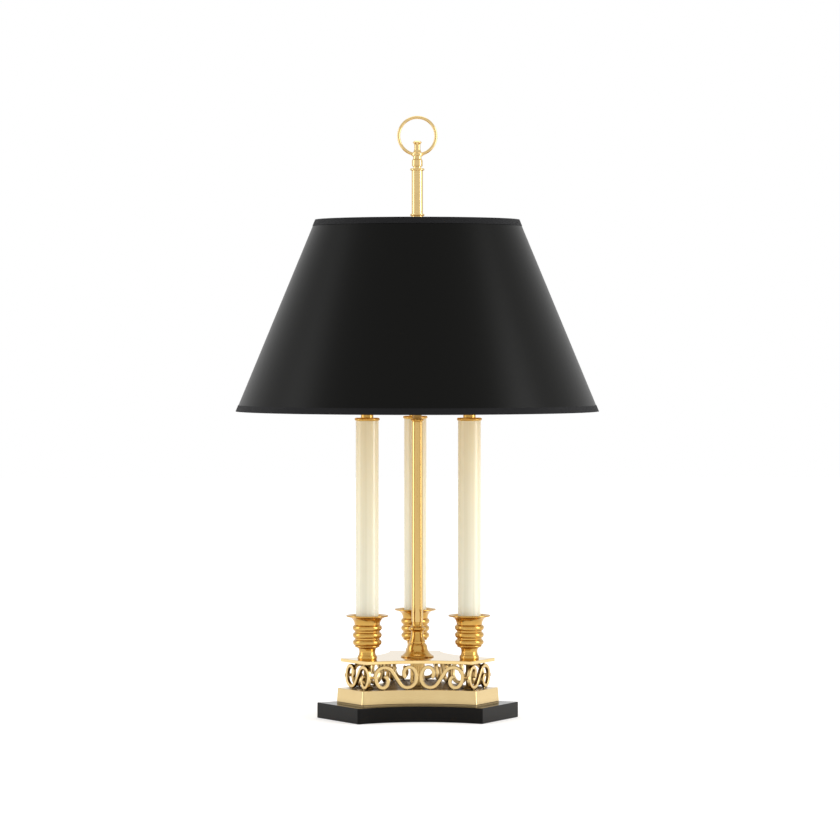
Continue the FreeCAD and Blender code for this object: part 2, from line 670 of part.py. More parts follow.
def candle_cup():
    z = PLATE_TOP_Z
    bore = PIPE_R + SLIDE_GAP
    waist_z = z + CUP_BEAD_T
    bowl_z = waist_z + CUP_WAIST_T
    lip_z = bowl_z + CUP_BOWL_T
    rib_z = lip_z + CUP_LIP_BEAD_T
    bowl_r = CUP_WAIST_R + CUP_BOWL_OUT * (CUP_WALL_R - CUP_WAIST_R)
    eased_wall_r = CUP_WALL_R - CUP_EASE
    profile = [(bore, z),
               (CUP_BEAD_R - CUP_EASE, z),
               (CUP_BEAD_R, z + CUP_BEAD_UP * CUP_BEAD_T, CUP_WAIST_R, waist_z),
               (CUP_WAIST_R - CUP_WAIST_HOLLOW, waist_z + CUP_WAIST_T / 2, CUP_WAIST_R, bowl_z),
               (bowl_r, bowl_z + CUP_BOWL_T / 2, eased_wall_r, lip_z),
               (CUP_WALL_R, lip_z + CUP_LIP_BEAD_T / 2, eased_wall_r, rib_z)]
    for k in range(CUP_RIBS):
        wall = CUP_WALL_R + k * CUP_WALL_GROWTH
        top = rib_z + CUP_RIB_T
        profile.append((wall, rib_z))
        profile.append((wall + CUP_RIB_PROUD, (rib_z + top) / 2, wall, top))
        rib_z += CUP_RIB_PITCH
    neck_r = CUP_WALL_R + CUP_RIBS * CUP_WALL_GROWTH
    flare = CUP_FLARE_R * math.sqrt(0.5)
    flare_z = top + CUP_FLARE_UP
    brim_z = flare_z + CUP_FLARE_R
    brim_r = neck_r + CUP_FLARE_R
    dish_z = flare_z + CUP_FLOOR_RISE
    profile.append((neck_r, flare_z))
    profile.append((brim_r - flare, flare_z + flare, brim_r, brim_z))
    profile.append((CUP_RIM_R, brim_z + CUP_RIM_T / 2, brim_r, brim_z + CUP_RIM_T))
    profile.append((brim_r - flare, dish_z + flare, neck_r, dish_z))
    profile.append((SLEEVE_R + SLIDE_GAP, dish_z))
    profile.append((SLEEVE_R + SLIDE_GAP, SLEEVE_Z))
    profile.append((bore, SLEEVE_Z))
    return turned(profile)


def candle_sleeve():
    return pipe(SLEEVE_R, SLEEVE_R - SLEEVE_WALL, SLEEVE_Z, SLEEVE_TOP_Z)


def candle_cap():
    bore = PIPE_R + SLIDE_GAP
    spigot = SLEEVE_R - SLEEVE_WALL - SLIDE_GAP
    edge = CAP_RIM_T / 2
    return turned([(bore, SLEEVE_TOP_Z - CAP_SPIGOT_T),
                   (spigot, SLEEVE_TOP_Z - CAP_SPIGOT_T),
                   (spigot, SLEEVE_TOP_Z),
                   (CAP_R - edge, SLEEVE_TOP_Z),
                   (CAP_R, SLEEVE_TOP_Z + edge, CAP_R - edge, CAP_TOP_Z),
                   (CAP_NECK_R + edge, CAP_TOP_Z - edge / 2),
                   (CAP_NECK_R, CAP_TOP_Z),
                   (CAP_NECK_R, SOCKET_Z),
                   (bore, SOCKET_Z)])


def candle_pipe():
    low = TRAY_TOP_Z - TRAY_TOP_T - PIPE_NUT_T - PIPE_TAIL
    return pipe(PIPE_R, PIPE_BORE_R, low, SOCKET_Z + SOCKET_THREAD_T)


def pipe_nuts():
    """Three nuts on one pipe: under the tray's top, on it, and under the plate."""
    places = [TRAY_TOP_Z - TRAY_TOP_T - PIPE_NUT_T, TRAY_TOP_Z, PLATE_Z - PIPE_NUT_T]
    bore = PIPE_R + SLIDE_GAP
    return Part.makeCompound([hex_nut(PIPE_NUT_AF, PIPE_NUT_T, bore, z) for z in places])


def lead(angle):
    """Lead of one socket: down the candle pipe, across the tray and through the block."""
    run = CANDLE_CIRCLE_R - LEAD_CIRCLE_R - 2 * LEAD_BEND_R
    top = SHELL_Z - LEAD_IN_SOCKET
    fall = top - LEAD_Z - LEAD_BEND_R
    drop = LEAD_Z - LEAD_BEND_R - CONNECTOR_UP - CONNECTOR_T
    moves = [(drop, 0), (LEAD_BEND_R, -90), (run, 0), (LEAD_BEND_R, 90), (fall, 0)]
    start = Vector(LEAD_CIRCLE_R, CONNECTOR_UP + CONNECTOR_T, 0)
    line = Part.Wire(bent_path(start, math.pi / 2, moves))
    section = Part.Wire(Part.makeCircle(LEAD_R, start, Vector(0, 1, 0)))
    body = line.makePipeShell([section], True, False)
    body.rotate(Vector(0, 0, 0), Vector(1, 0, 0), 90)
    return about_column(body, angle)


def wire_connector(angle):
    foot = Vector(0, 0, CONNECTOR_UP)
    cone = Part.makeCone(CONNECTOR_R, CONNECTOR_TIP_R, CONNECTOR_T, foot)
    cone.translate(at_angle(LEAD_CIRCLE_R, angle))
    return cone


# Sockets and bulbs, each made on the column's axis and moved to its place

def socket_cap():
    bore = PIPE_R + SLIDE_GAP
    inside = SOCKET_R - SOCKET_WALL
    roof_z = SOCKET_Z + SOCKET_THREAD_T
    outer_r = SOCKET_CAP_FOOT_R + SOCKET_CAP_FULL * (SOCKET_R - SOCKET_CAP_FOOT_R)
    inner_r = SOCKET_CAP_FOOT_R + SOCKET_CAP_FULL * (inside - SOCKET_CAP_FOOT_R)
    return turned([(bore, SOCKET_Z),
                   (SOCKET_CAP_FOOT_R, SOCKET_Z),
                   (outer_r, SOCKET_Z + SOCKET_CAP_T / 3, SOCKET_R, SHELL_Z),
                   (inside, SHELL_Z),
                   (inner_r, roof_z + SOCKET_CAP_T / 3, bore, roof_z)])


def knob_frame_hole(radius, clearance):
    """Hole for the knob's shaft, from the socket's middle outwards along +X."""
    start = Vector(SOCKET_R - KNOB_DEPTH - clearance, 0, SHELL_Z + KNOB_UP)
    return rod(radius + clearance, KNOB_DEPTH + clearance, start, Vector(1, 0, 0))


def socket_shell():
    inside = SOCKET_R - SOCKET_WALL
    bead = SOCKET_WALL
    shell = turned([(inside, SHELL_Z),
                    (SOCKET_R, SHELL_Z),
                    (SOCKET_R, SHELL_TOP_Z - 4 * bead),
                    (SOCKET_R + bead, SHELL_TOP_Z - 3 * bead, SOCKET_R, SHELL_TOP_Z - 2 * bead),
                    (SOCKET_R, SHELL_TOP_Z),
                    (inside, SHELL_TOP_Z)])
    return shell.cut(knob_frame_hole(KNOB_SHAFT_R, TURN_GAP))


def socket_core():
    """Insulating body inside the shell, with the threaded hole for the bulb."""
    outside = SOCKET_R - SOCKET_WALL - SLIDE_GAP
    core = rod(outside, SOCKET_T - CORE_RECESS, Vector(0, 0, SHELL_Z))
    seat = Vector(0, 0, SHELL_Z + CORE_FLOOR_T)
    core = core.cut(rod(BULB_BASE_R + SLIDE_GAP, SOCKET_T, seat))
    return core.cut(knob_frame_hole(KNOB_SHAFT_R, TURN_GAP))


def socket_knob():
    """Turn key: a round shaft with a flat oval key, along +X."""
    start = Vector(SOCKET_R - KNOB_DEPTH, 0, SHELL_Z + KNOB_UP)
    shaft = rod(KNOB_SHAFT_R, KNOB_DEPTH + KNOB_OUT + KNOB_KEY_L / 2, start, Vector(1, 0, 0))
    middle = Vector(SOCKET_R + KNOB_OUT + KNOB_KEY_L / 2, -KNOB_KEY_T / 2, SHELL_Z + KNOB_UP)
    key = rod(KNOB_KEY_W / 2, KNOB_KEY_T, middle, Vector(0, 1, 0))
    key = key.makeFillet(KNOB_KEY_T / 4, [edge for edge in key.Edges if edge.Closed])
    return shaft.fuse(key)


def bulb_base():
    low = SHELL_Z + CORE_FLOOR_T
    top = low + BULB_BASE_T
    return turned([(0, low),
                   (BULB_CONTACT_R, low),
                   (BULB_BASE_R, low + BULB_CONTACT_T),
                   (BULB_BASE_R, top),
                   (BULB_NECK_R, top + BULB_BASE_ABOVE),
                   (0, top + BULB_BASE_ABOVE)])


def bulb_outline(wall):
    """Outline of the glass, from its neck to its tip, drawn in by a wall."""
    low = SHELL_Z + CORE_FLOOR_T + BULB_BASE_T + BULB_BASE_ABOVE
    belly = low + BULB_BELLY_AT * BULB_T
    top = low + BULB_T - wall
    belly_r = BULB_R - wall
    return [(BULB_NECK_R - wall, low),
            (belly_r - BULB_LOW_IN, low + BULB_LOW_UP * (belly - low), belly_r, belly),
            (BULB_HIGH_R - wall, belly + BULB_HIGH_UP * (top - belly),
             BULB_TIP_R - wall / 2, top),
            (0, top)]


def bulb_glass():
    outside = bulb_outline(0)
    inside = bulb_outline(BULB_WALL)
    low = outside[0][1]
    return turned([(0, low)] + outside).cut(turned([(0, low)] + inside))


def bulb_filament():
    """Glass stem with its filament, inside the bulb."""
    low = SHELL_Z + CORE_FLOOR_T + BULB_BASE_T + BULB_BASE_ABOVE
    stem_t = FILAMENT_T / 2
    return turned([(0, low),
                   (STEM_FOOT_R, low),
                   (FILAMENT_R, low + stem_t),
                   (FILAMENT_R / 2, low + stem_t),
                   (FILAMENT_R / 2, low + FILAMENT_T),
                   (0, low + FILAMENT_T)])


def at_candle(shape, angle):
    """Move a piece from the column's axis to a candle, with its +X facing outwards."""
    placed = shape.copy()
    placed.translate(Vector(CANDLE_CIRCLE_R, 0, 0))
    return about_column(placed, angle)


def at_all_candles(shape):
    return Part.makeCompound([at_candle(shape, angle) for angle in CANDLE_ANGLES.values()])


# Shade

SHADE_SLOPE = (SHADE_BOTTOM_R - SHADE_TOP_R) / SHADE_HEIGHT
SLANT = math.sqrt(1 + SHADE_SLOPE ** 2)
CARD_LEVEL = SHADE_CARD * SLANT      # thickness of the card measured level
TAPE_LEVEL = TAPE_T * SLANT
GLUE_LEVEL = GLUE_GAP * SLANT
WIRE_LEVEL = 2 * SHADE_WIRE_R * SLANT


def shade_r(z):
    """Radius of the outside of the cloth tape at one height."""
    return SHADE_BOTTOM_R - SHADE_SLOPE * (z - SHADE_BOTTOM_Z)


def cone_band(z_low, z_high, outer_in, inner_in):
    """Part of the cone between two heights, with its faces set in from the outside."""
    return turned([(shade_r(z_low) - inner_in, z_low),
                   (shade_r(z_low) - outer_in, z_low),
                   (shade_r(z_high) - outer_in, z_high),
                   (shade_r(z_high) - inner_in, z_high)])


CARD_OUT = TAPE_LEVEL + GLUE_LEVEL
CARD_IN = CARD_OUT + CARD_LEVEL
WIRE_MID = CARD_IN + GLUE_LEVEL + WIRE_LEVEL / 2
HEM_OUT = CARD_IN + 2 * GLUE_LEVEL + WIRE_LEVEL
HEM_IN = HEM_OUT + TAPE_LEVEL
LOW_WIRE_Z = SHADE_BOTTOM_Z + TAPE_T + GLUE_GAP + SHADE_WIRE_R
HIGH_WIRE_Z = SHADE_TOP_Z - TAPE_T - GLUE_GAP - SHADE_WIRE_R


def shade_panel():
    low = SHADE_BOTTOM_Z + TAPE_T + GLUE_GAP
    high = SHADE_TOP_Z - TAPE_T - GLUE_GAP
    return cone_band(low, high, CARD_OUT, CARD_IN)


def rim_tape(z_edge, inwards):
    """Cloth tape folded over one rim, card and wire together."""
    fold = z_edge + inwards * TAPE_T
    outside = z_edge + inwards * TAPE_OUTSIDE
    inside = z_edge + inwards * TAPE_INSIDE
    return turned([(shade_r(z_edge), z_edge),
                   (shade_r(outside), outside),
                   (shade_r(outside) - TAPE_LEVEL, outside),
                   (shade_r(fold) - TAPE_LEVEL, fold),
                   (shade_r(fold) - HEM_OUT, fold),
                   (shade_r(inside) - HEM_OUT, inside),
                   (shade_r(inside) - HEM_IN, inside),
                   (shade_r(z_edge) - HEM_IN, z_edge)])


def rim_wire(z):
    return Part.makeTorus(shade_r(z) - WIRE_MID, SHADE_WIRE_R, Vector(0, 0, z))


def spider_arms(clearance):
    """Straight arms from the hub to the top wire."""
    start = Vector(SPIDER_HUB_R - SPIDER_ARM_R, 0, HUB_Z + SPIDER_HUB_T / 2)
    wire = Vector(shade_r(HIGH_WIRE_Z) - WIRE_MID, 0, HIGH_WIRE_Z)
    reach = wire - start
    arm = rod(SPIDER_ARM_R + clearance, reach.Length - SHADE_WIRE_R / 2, start, reach)
    turns = [SPIDER_TURN + 360 * k / SPIDER_ARMS for k in range(SPIDER_ARMS)]
    return [about_column(arm, turn) for turn in turns]


def shade_spider():
    """Hub with arms that are brazed to the top wire."""
    spider = rod(SPIDER_HUB_R, SPIDER_HUB_T, Vector(0, 0, HUB_Z))
    for arm in spider_arms(0):
        spider = spider.fuse(arm)
    spider = spider.cut(rim_wire(HIGH_WIRE_Z))
    return spider.cut(rod(ROD_R + TURN_GAP, SPIDER_HUB_T, Vector(0, 0, HUB_Z)))


def shade_tape_top():
    """Top tape, slit where the arms of the spider pass through it."""
    tape = rim_tape(SHADE_TOP_Z, -1)
    for arm in spider_arms(GLUE_GAP):
        tape = tape.cut(arm)
    return tape


def shade_seat():
    """Washer and nut on the rod that carry the shade."""
    washer_z = HUB_Z - SEAT_WASHER_T
    bore = ROD_R + SLIDE_GAP
    return Part.makeCompound([pipe(SEAT_WASHER_R, bore, washer_z, HUB_Z),
                              hex_nut(SEAT_NUT_AF, SEAT_NUT_T, bore, washer_z - SEAT_NUT_T)])


# Riser and finial

def riser_collar(z_low, thickness, radius, foot_t):
    """Turned bead, on a narrower foot where one is asked for."""
    bore = ROD_R + SLIDE_GAP
    foot_r = (3 * TUBE_R + radius) / 4
    shoulder = (TUBE_R + radius) / 2
    bead_z = z_low + foot_t
    top_z = z_low + thickness
    profile = [(bore, z_low)]
    if foot_t > 0:
        profile += [(foot_r, z_low), (foot_r, bead_z)]
    profile += [(shoulder, bead_z),
                (radius, (bead_z + top_z) / 2, shoulder, top_z),
                (bore, top_z)]
    return turned(profile)


def riser_tube():
    return pipe(TUBE_R, TUBE_R - TUBE_WALL, RISER_Z, RISER_TOP_Z)


def finial_washer():
    return pipe(FINIAL_WASHER_R, STUD_TOP_R + TURN_GAP, HIGH_COLLAR_TOP_Z, FINIAL_Z)


def finial_body():
    barrel_z = FINIAL_Z + FINIAL_FOOT_T
    barrel_top_z = barrel_z + BARREL_T
    stem_z = SKIRT_Z + SKIRT_T
    knop_z = stem_z + FINIAL_STEM_T
    top_z = knop_z + KNOP_T
    knop_mid_z = knop_z + KNOP_MID_UP * KNOP_T
    curve_z = SKIRT_Z + SKIRT_CURVE_UP * SKIRT_T
    body = turned([(0, FINIAL_Z),
                   (FINIAL_FOOT_R, FINIAL_Z),
                   (FINIAL_FOOT_R, barrel_z),
                   (BARREL_R - BARREL_CHAMFER / 2, barrel_z),
                   (BARREL_R, barrel_z + BARREL_CHAMFER / 2),
                   (BARREL_R, barrel_top_z - 2 * BARREL_CHAMFER),
                   (BARREL_R - BARREL_CHAMFER / 2, barrel_top_z - BARREL_CHAMFER / 2,
                    FINIAL_NECK_R, barrel_top_z),
                   (FINIAL_NECK_R, SKIRT_Z),
                   (SKIRT_R - SKIRT_RIM_T / 2, SKIRT_Z),
                   (SKIRT_R, SKIRT_Z + SKIRT_RIM_T / 2),
                   (SKIRT_R - SKIRT_RIM_T / 4, SKIRT_Z + 2 * SKIRT_RIM_T),
                   (SKIRT_CURVE_R, curve_z, FINIAL_STEM_R, stem_z),
                   (FINIAL_STEM_R, knop_z),
                   (KNOP_R, knop_mid_z),
                   (KNOP_R, knop_mid_z + KNOP_BAND_T),
                   (KNOP_TOP_R, top_z),
                   (0, top_z)])
    bore = rod(STUD_TOP_R + TURN_GAP, FINIAL_THREAD_T + FINIAL_BLIND_T, Vector(0, 0, FINIAL_Z))
    return body.cut(bore).cut(finial_ring())


def finial_ring():
    """Upright ring, brazed through the skirt of the finial."""
    return Part.makeTorus(RING_R, RING_WIRE_R, Vector(0, 0, RING_Z), Vector(0, 1, 0))


# Every piece under its own name

def all_pieces():
    one = scroll()
    pieces = {"base_block": base_block(),
              "base_felt": base_felt(),
              "cord_grommet": cord_grommet(),
              "tray_foot": tray_foot(),
              "base_tray": base_tray(),
              "top_plate": top_plate(),
              "gallery_ties": gallery_ties(one),
              "centre_spacer": centre_spacer(),
              "column_bell": column_bell(),
              "column_neck": column_neck(),
              "column_tube": column_tube(),
              "column_collar": column_collar(),
              "centre_rod": centre_rod(),
              "base_washer": base_washer(),
              "base_nut": base_nut(),
              "pipe_nuts": at_all_candles(pipe_nuts()),
              "socket_caps": at_all_candles(socket_cap()),
              "socket_cores": at_all_candles(socket_core()),
              "bulb_bases": at_all_candles(bulb_base()),
              "bulb_filaments": at_all_candles(bulb_filament()),
              "shade_panel": shade_panel(),
              "shade_tape_bottom": rim_tape(SHADE_BOTTOM_Z, 1),
              "shade_tape_top": shade_tape_top(),
              "shade_wire_bottom": rim_wire(LOW_WIRE_Z),
              "shade_wire_top": rim_wire(HIGH_WIRE_Z),
              "shade_spider": shade_spider(),
              "shade_seat": shade_seat(),
              "riser_collar_low": riser_collar(HUB_TOP_Z, LOW_COLLAR_T, LOW_COLLAR_R,
                                               LOW_COLLAR_FOOT_T),
              "riser_tube": riser_tube(),
              "riser_collar_high": riser_collar(RISER_TOP_Z, HIGH_COLLAR_T, HIGH_COLLAR_R, 0),
              "finial_washer": finial_washer(),
              "finial_body": finial_body(),
              "finial_ring": finial_ring()}
    for name, turn in LONG_SIDE_TURNS.items():
        pieces["gallery_scrolls_" + name] = about_column(gallery_long(one), turn)
    short = on_short_side(mirrored(one))
    for name, turn in SHORT_SIDE_TURNS.items():
        pieces["gallery_scroll_" + name] = about_column(short, turn - SHORT_SIDE_TURNS["right"])
    leads = []
    connectors = []
    for name, angle in CANDLE_ANGLES.items():
        pieces["candle_cup_" + name] = at_candle(candle_cup(), angle)
        pieces["candle_sleeve_" + name] = at_candle(candle_sleeve(), angle)
        pieces["candle_cap_" + name] = at_candle(candle_cap(), angle)
        pieces["socket_shell_" + name] = at_candle(socket_shell(), angle)
        pieces["socket_knob_" + name] = at_candle(socket_knob(), angle)
        pieces["bulb_glass_" + name] = at_candle(bulb_glass(), angle)
        leads.append(lead(angle))
        connectors.append(wire_connector(angle))
    pieces["candle_pipes"] = at_all_candles(candle_pipe())
    pieces["socket_leads"] = Part.makeCompound(leads)
    pieces["wire_connectors"] = Part.makeCompound(connectors)
    return pieces


os.makedirs("parts", exist_ok=True)
for piece_name, piece in all_pieces().items():
    piece.exportStep("parts/" + piece_name + ".step")
    print(piece_name, len(piece.Solids), "solids", round(piece.Volume, 1), "mm3")
print("ring top", round(RING_Z + RING_R + RING_WIRE_R, 2))
print("plate top", round(PLATE_TOP_Z, 2))
print("candle cap top", round(CAP_TOP_Z, 2), "column top", round(COLUMN_TOP_Z, 2))
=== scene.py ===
import math

import bpy
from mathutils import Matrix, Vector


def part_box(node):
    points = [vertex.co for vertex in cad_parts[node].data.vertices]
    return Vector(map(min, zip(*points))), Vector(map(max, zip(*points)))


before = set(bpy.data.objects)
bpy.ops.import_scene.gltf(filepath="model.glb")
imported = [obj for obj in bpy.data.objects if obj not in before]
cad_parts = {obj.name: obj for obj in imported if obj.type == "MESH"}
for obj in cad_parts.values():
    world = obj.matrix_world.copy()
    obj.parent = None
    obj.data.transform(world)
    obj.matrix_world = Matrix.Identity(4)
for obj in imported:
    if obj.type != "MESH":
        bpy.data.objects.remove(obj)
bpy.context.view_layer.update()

# Base block: one piece of close-grained hardwood, sawn to six sides, its long sides hollowed
# and its edges eased. It is sprayed with black lacquer and rubbed to a deep satin gloss.
# It carries the brass tray and stands on the table.

MM = 0.001


def linear(hex_colour):
    """Linear colour, with full alpha, of an sRGB hex value."""
    parts = [int(hex_colour[k:k + 2], 16) / 255 for k in (1, 3, 5)]
    return [p / 12.92 if p <= 0.04045 else ((p + 0.055) / 1.055) ** 2.4 for p in parts] + [1.0]


def add(tree, kind, settings, sockets):
    """Adds a node. A socket gets a value, a hex colour, or the output that feeds it."""
    made = tree.nodes.new("ShaderNode" + kind)
    for name, value in settings.items():
        setattr(made, name, value)
    for key, value in sockets.items():
        if isinstance(value, bpy.types.NodeSocket):
            tree.links.new(value, made.inputs[key])
        elif isinstance(value, str):
            made.inputs[key].default_value = linear(value)
        else:
            made.inputs[key].default_value = value
    return made


def new_tree(name):
    """Empty material with its node tree."""
    material = bpy.data.materials.new(name)
    material.use_nodes = True
    material.node_tree.nodes.clear()
    return material, material.node_tree


def grain(tree, size_mm, detail=3.0):
    """Noise whose grains have one real size along X, Y and Z, as a 0 to 1 factor."""
    place = add(tree, "TexCoord", {}, {}).outputs["Object"]
    scaled = add(tree, "Mapping", {}, {"Vector": place, "Scale": [1 / (s * MM) for s in size_mm]})
    noise = add(tree, "TexNoise", {}, {"Vector": scaled.outputs[0], "Scale": 1.0,
                                       "Detail": detail, "Roughness": 0.55})
    return noise.outputs["Fac"]


def spread(tree, factor, low, high):
    """A 0 to 1 factor spread over another range."""
    return add(tree, "MapRange", {}, {"Value": factor, "To Min": low, "To Max": high}).outputs[0]


def blend(tree, factor, first, second):
    """Colour between two others."""
    mix = add(tree, "Mix", {"data_type": "RGBA"}, {0: factor, 6: first, 7: second})
    return mix.outputs[2]


def bump(tree, height, depth_mm, strength=1.0):
    """Normal of a surface with fine relief of one real depth."""
    made = add(tree, "Bump", {}, {"Height": height, "Strength": strength,
                                  "Distance": depth_mm * MM})
    return made.outputs[0]


def finish_with(tree, sockets):
    """Joins one shader to the material's output."""
    shader = add(tree, "BsdfPrincipled", {}, sockets)
    add(tree, "OutputMaterial", {}, {"Surface": shader.outputs[0]})


def dress(names, material):
    """Gives a finish to pieces of the frame."""
    for name in names:
        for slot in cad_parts[name].material_slots:
            slot.material = material


# Black nitrocellulose lacquer over hardwood: near black, with a soft mirror in it and the
# faint lines of the grain below.
lacquer, tree = new_tree("black_lacquer_rubbed_satin_on_hardwood")
pores = grain(tree, (45, 1.4, 1.4))
haze = grain(tree, (14, 14, 14))
finish_with(tree, {"Base Color": blend(tree, pores, "#040302", "#090705"),
                   "Roughness": spread(tree, haze, 0.10, 0.18),
                   "IOR": 1.5,
                   "Specular IOR Level": 0.12,
                   "Normal": bump(tree, pores, 0.02, 0.5)})
dress(["base_block"], lacquer)

# Felt let into the underside: a sheet of pressed wool, cut to shape and glued in, so that the
# block cannot scratch the table.

# Pressed wool felt: dull black with short tangled fibres and a light fuzz at its edge.
felt, tree = new_tree("pressed_wool_felt")
fibres = grain(tree, (0.6, 0.6, 0.6), 6.0)
finish_with(tree, {"Base Color": blend(tree, fibres, "#0E0E0F", "#232326"),
                   "Roughness": 0.95,
                   "Sheen Weight": 0.4,
                   "Normal": bump(tree, fibres, 0.3)})
dress(["base_felt"], felt)

# Cord inlet: a moulded rubber grommet, pushed into the drilled hole at the back of the block,
# where it keeps a cord off the edge of the wood.

# Moulded rubber: matt black, a little dusty, with the fine skin of the mould.
rubber, tree = new_tree("moulded_black_rubber")
skin = grain(tree, (0.5, 0.5, 0.5), 4.0)
finish_with(tree, {"Base Color": blend(tree, skin, "#141414", "#1F1E1D"),
                   "Roughness": spread(tree, skin, 0.55, 0.75),
                   "Normal": bump(tree, skin, 0.05)})
dress(["cord_grommet"], rubber)

# Tray and foot plate: pressed from sheet brass with mitred corners, on a thin lip.
# The faces are brushed along their length and then lacquered, which keeps them pale.


def open_to_light(tree, reach_mm):
    """Mask for painted shade: 0 where closed in within one real reach, 1 where open."""
    near = add(tree, "AmbientOcclusion", {"samples": 8}, {"Distance": reach_mm * MM})
    made = add(tree, "MapRange", {"interpolation_type": "SMOOTHSTEP"},
               {"Value": near.outputs["AO"], "From Min": 0.35, "From Max": 0.65})
    return made.outputs[0]


# Brushed and lacquered brass: a soft pale gold with fine level lines that draw out the light,
# and painted shade that turns it brown and dull in the closed-in corners.
satin_brass, tree = new_tree("brushed_lacquered_brass_painted_shade")
lines = grain(tree, (26, 26, 0.22), 4.0)
cloud = grain(tree, (30, 30, 30))
# Painted shade: where the tray is closed in, it turns brown, dull and unmetallic.
open_lit = open_to_light(tree, 40)
worn = blend(tree, cloud, "#D3B781", "#E0C794")
polish = spread(tree, lines, 0.10, 0.19)
roughness = add(tree, "MapRange", {}, {"Value": open_lit, "To Min": 0.7, "To Max": polish})
finish_with(tree, {"Base Color": blend(tree, open_lit, "#4A3316", worn),
                   "Metallic": open_lit,
                   "Roughness": roughness.outputs[0],
                   "Specular IOR Level": 0.2,
                   "Normal": bump(tree, lines, 0.02, 0.6)})
dress(["tray_foot", "base_tray"], satin_brass)

# Gallery: nine S-scrolls cast in brass, pinned between tray and plate by short studs and tied
# at the corners by beads. The castings are darkened all over, then polished bright again where
# they look outwards or lie open. The dark on faces that look inwards or lie closed in is partly
# that patina and partly painted shade.

# Cast brass, darkened and relieved: pale gold faces, and brown where it looks inwards or is
# closed in, which is partly patina and partly painted shade.
cast_brass, tree = new_tree("cast_brass_patina_and_painted_shade")
where = add(tree, "TexCoord", {}, {})
level = add(tree, "VectorMath", {"operation": "MULTIPLY"},
            {0: where.outputs["Object"], 1: (1.0, 1.0, 0.0)})
outwards = add(tree, "VectorMath", {"operation": "NORMALIZE"}, {0: level.outputs[0]})
facing = add(tree, "VectorMath", {"operation": "DOT_PRODUCT"},
             {0: where.outputs["Normal"], 1: outwards.outputs[0]})
# Painted shade, partly patina: faces that do not look outwards turn dark.
relieved_and_lit = add(tree, "MapRange", {"interpolation_type": "SMOOTHSTEP"},
               {"Value": facing.outputs["Value"], "From Min": 0.45, "From Max": 0.75})
skin = grain(tree, (1.1, 1.1, 1.1), 4.0)
rubbed_and_lit = add(tree, "Math", {"operation": "MAXIMUM"}, {0: relieved_and_lit.outputs[0],
                                                      1: open_to_light(tree, 12)})
patina_and_shade = blend(tree, skin, "#3B2A12", "#6B4E22")
bright = blend(tree, skin, "#CDAF78", "#E0C58C")
finish_with(tree, {"Base Color": blend(tree, rubbed_and_lit.outputs[0], patina_and_shade, bright),
                   "Metallic": 1.0,
                   "Roughness": spread(tree, rubbed_and_lit.outputs[0], 0.40, 0.28),
                   "Normal": bump(tree, skin, 0.04, 0.5)})
dress(["gallery_scrolls_front", "gallery_scrolls_back_right", "gallery_scrolls_back_left",
       "gallery_scroll_right", "gallery_scroll_back", "gallery_scroll_left",
       "gallery_ties"], cast_brass)

# Top plate: sheet brass, sawn to the same six sides and buffed to a mirror. It lies on the
# gallery, and the rod through its middle holds it there.

# Mirror-buffed brass: it shows the cups upside down, and turns pale where the eye skims it.
mirror_brass, tree = new_tree("mirror_buffed_brass")
wipe = grain(tree, (9, 9, 9))
finish_with(tree, {"Base Color": blend(tree, wipe, "#DDBD7E", "#E6CB93"),
                   "Metallic": 1.0,
                   "Roughness": spread(tree, wipe, 0.05, 0.11)})
dress(["top_plate"], mirror_brass)

# Column: drawn brass tube slipped over the rod, with a spacer of the same tube between the
# plates.

# Drawn and polished brass tube: long straight reflections with faint upright lines, drawn
# coarser than real ones so that they show.
tube_brass, tree = new_tree("drawn_polished_brass_tube")
lines = grain(tree, (1.4, 1.4, 90), 2.0)
finish_with(tree, {"Base Color": blend(tree, lines, "#C6A363", "#D6B678"),
                   "Metallic": 1.0,
                   "Roughness": spread(tree, lines, 0.12, 0.18),
                   "Normal": bump(tree, lines, 0.001, 0.3)})
dress(["centre_spacer", "column_tube"], tube_brass)

# Riser and finial, above the shade: the riser is drawn tube, and its collars, the washer and
# the finial with its ring are turned from bar. All are brass, polished and left uncoated.

# Polished brass, uncoated: a soft pale gold with level lines from the lathe, drawn coarser than
# real ones so that they show.
pale_brass, tree = new_tree("polished_uncoated_brass")
lines = grain(tree, (9, 9, 1.2), 2.0)
finish_with(tree, {"Base Color": blend(tree, lines, "#CDAE74", "#DDC38C"),
                   "Metallic": 1.0,
                   "Roughness": spread(tree, lines, 0.14, 0.20),
                   "Normal": bump(tree, lines, 0.002, 0.3)})
dress(["riser_tube", "riser_collar_low", "riser_collar_high", "finial_washer", "finial_body",
       "finial_ring"], pale_brass)

# Turned pieces: bell, neck, column collar, candle cups and caps.
# They are turned from bar in the lathe, polished there and dipped in a warm clear lacquer.

# Turned brass under warm lacquer: a deep, slightly orange gold with close level lines.
turned_brass, tree = new_tree("turned_brass_warm_lacquer")
lines = grain(tree, (18, 18, 0.16), 3.0)
cloud = grain(tree, (7, 7, 7))
finish_with(tree, {"Base Color": blend(tree, cloud, "#B98E44", "#CBA259"),
                   "Metallic": 1.0,
                   "Roughness": spread(tree, lines, 0.18, 0.27),
                   "Normal": bump(tree, lines, 0.003, 0.5)})
dress(["column_bell", "column_neck", "column_collar"], turned_brass)
SIDES = ("left", "right", "back")
for side in SIDES:
    dress(["candle_cup_" + side, "candle_cap_" + side], turned_brass)

# Rod, candle pipes, nuts and washers: steel with a cut thread, brass plated. The thread of a
# lamp pipe has 27 turns to the inch.

THREAD_PITCH = 0.94

